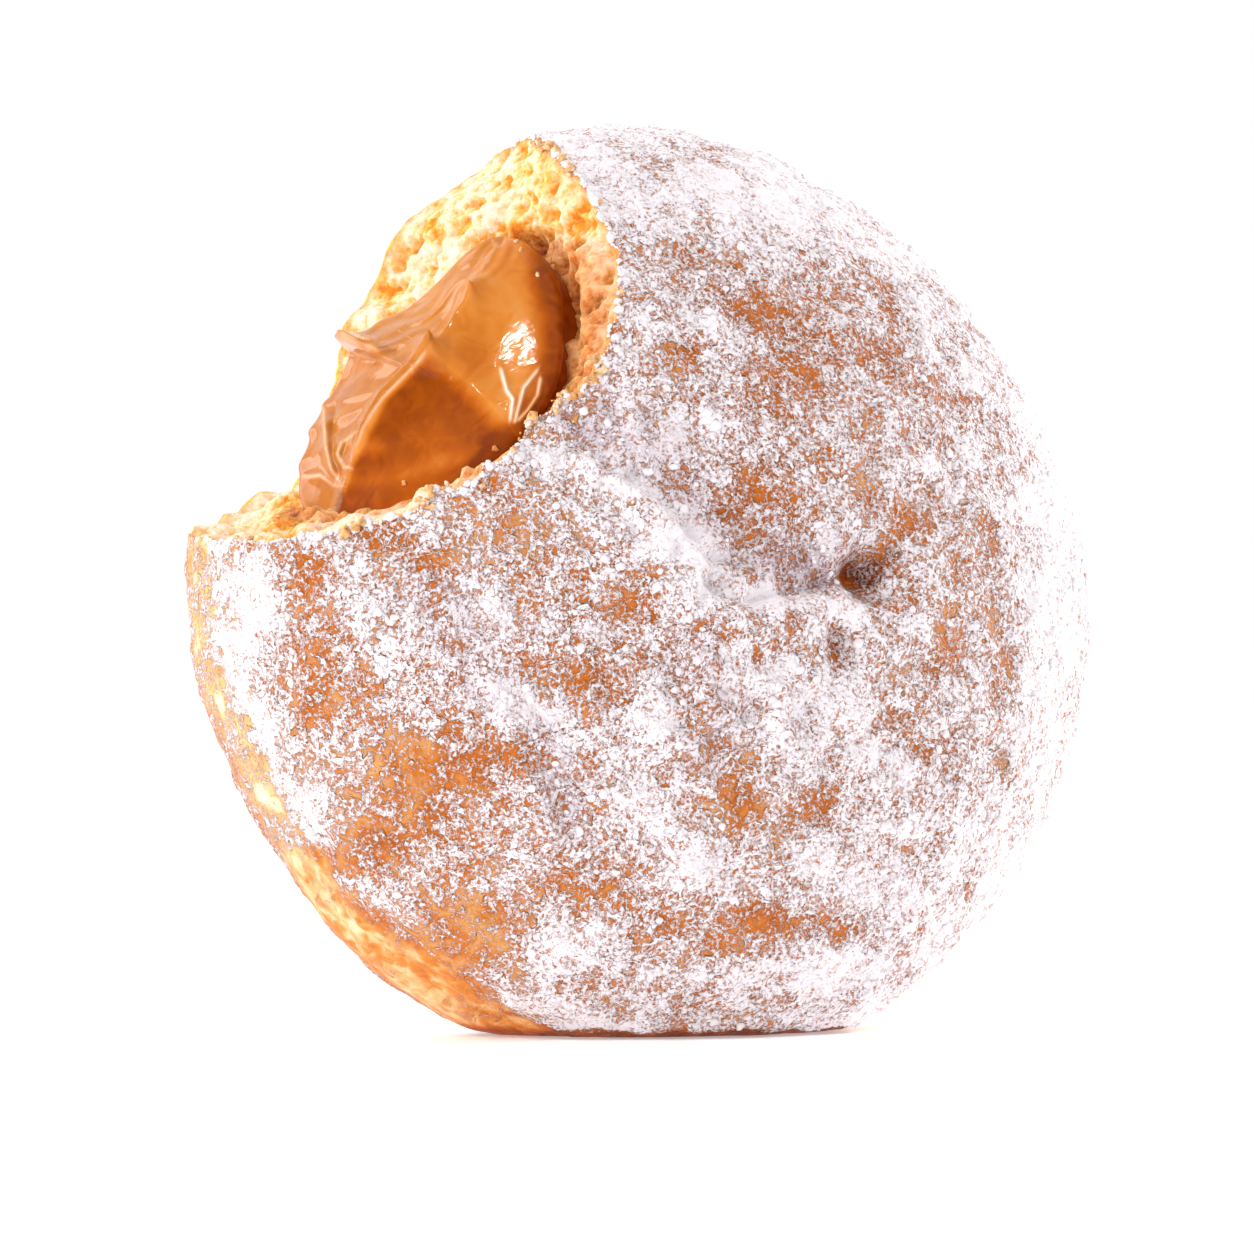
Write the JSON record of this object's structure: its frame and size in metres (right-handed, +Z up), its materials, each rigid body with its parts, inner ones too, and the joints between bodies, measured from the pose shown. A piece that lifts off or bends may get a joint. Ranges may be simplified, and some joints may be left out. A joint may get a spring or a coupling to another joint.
{
  "type": "filled doughnut",
  "caption": "Round yeast doughnut without a hole, dusted with sugar, with a bite out of its rim that shows crumb and a caramel filling. Stands on its rim.",
  "frame": {"origin": "centre of the bounding box's underside, level with the flat spot that the doughnut stands on", "axes": "+Z up, +X to the right as seen from the front, -Y toward the front, where the creased face shows"},
  "size_m": [0.0852, 0.0614, 0.0855],
  "materials": {
    "dough": "golden brown fried crust under icing sugar, cream crumb where bitten",
    "filling": "glossy caramel cream"
  },
  "bodies": {
    "root": {"dough": "dough", "filling": "filling"}
  },
  "joints": []
}
